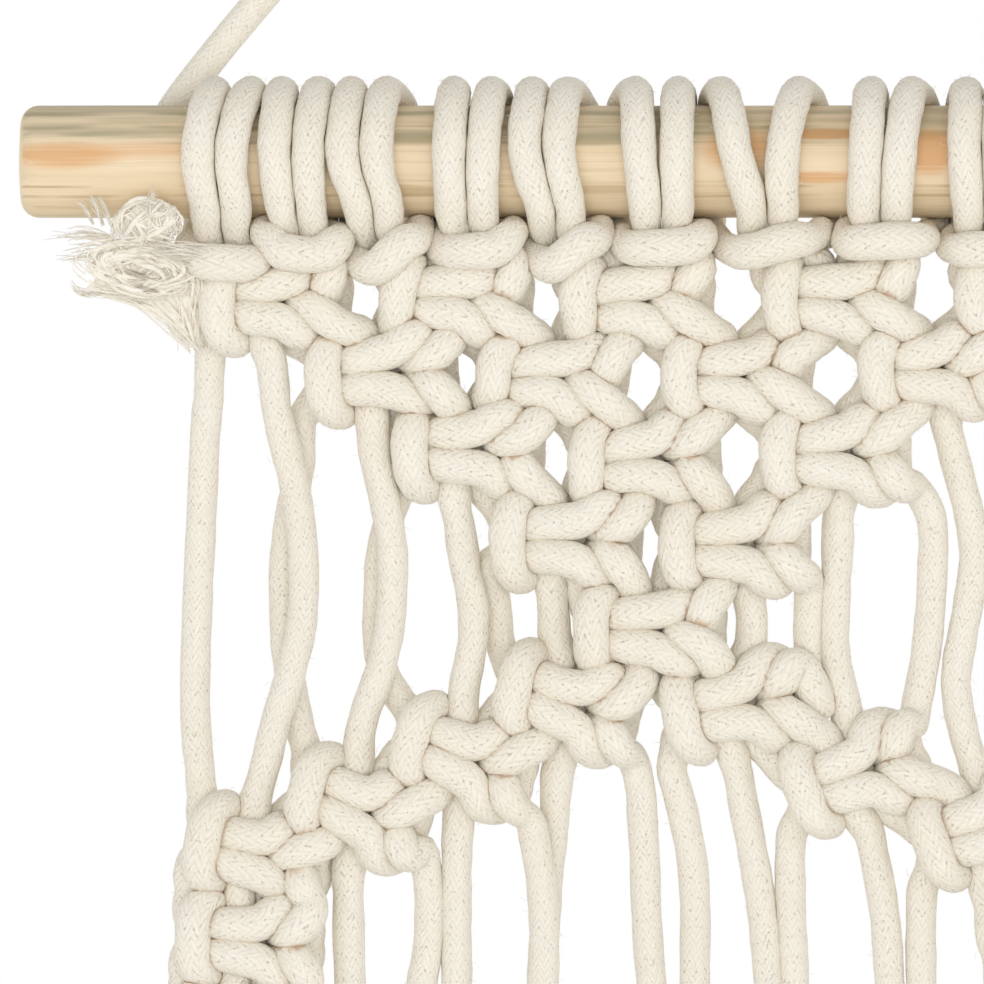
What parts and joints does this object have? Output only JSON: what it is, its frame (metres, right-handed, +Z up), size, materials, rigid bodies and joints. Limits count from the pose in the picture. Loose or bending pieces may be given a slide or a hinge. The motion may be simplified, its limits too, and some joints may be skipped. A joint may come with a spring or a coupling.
{
  "type": "macrame wall hanging on a dowel",
  "caption": "Off-white cotton macrame wall hanging: lark's heads on a pine dowel, alternating square-knot triangles over a plain fringe, with a hanging cord.",
  "frame": {"origin": "the underside of the hanging cord at its highest point, where it rests on a nail or hook in the wall", "axes": "+Z up, +X to the viewer's right along the dowel, -Y towards the viewer, so +Y points into the wall"},
  "size_m": [0.353, 0.0309, 0.6115],
  "materials": {
    "pine": "bare sanded pine, straight streaks of grain, matt",
    "cotton": "braided natural cotton cord, matt, slightly fuzzy",
    "hanging_cotton": "braided natural cotton cord, matt, slightly fuzzy",
    "frayed_cotton": "loose frayed cotton yarns, fluffy"
  },
  "bodies": {
    "root": {"dowel": "pine", "hanging_cord": "hanging_cotton", "frayed_tail_left": "frayed_cotton", "frayed_tail_right": "frayed_cotton", "larks_head_01": "cotton", "larks_head_02": "cotton", "larks_head_03": "cotton", "larks_head_04": "cotton", "larks_head_05": "cotton", "larks_head_06": "cotton", "larks_head_07": "cotton", "larks_head_08": "cotton", "larks_head_09": "cotton", "larks_head_10": "cotton", "larks_head_11": "cotton", "larks_head_12": "cotton", "larks_head_13": "cotton", "larks_head_14": "cotton", "larks_head_15": "cotton", "larks_head_16": "cotton", "larks_head_17": "cotton", "larks_head_18": "cotton", "larks_head_19": "cotton", "larks_head_20": "cotton", "macrame": "cotton"}
  },
  "joints": []
}
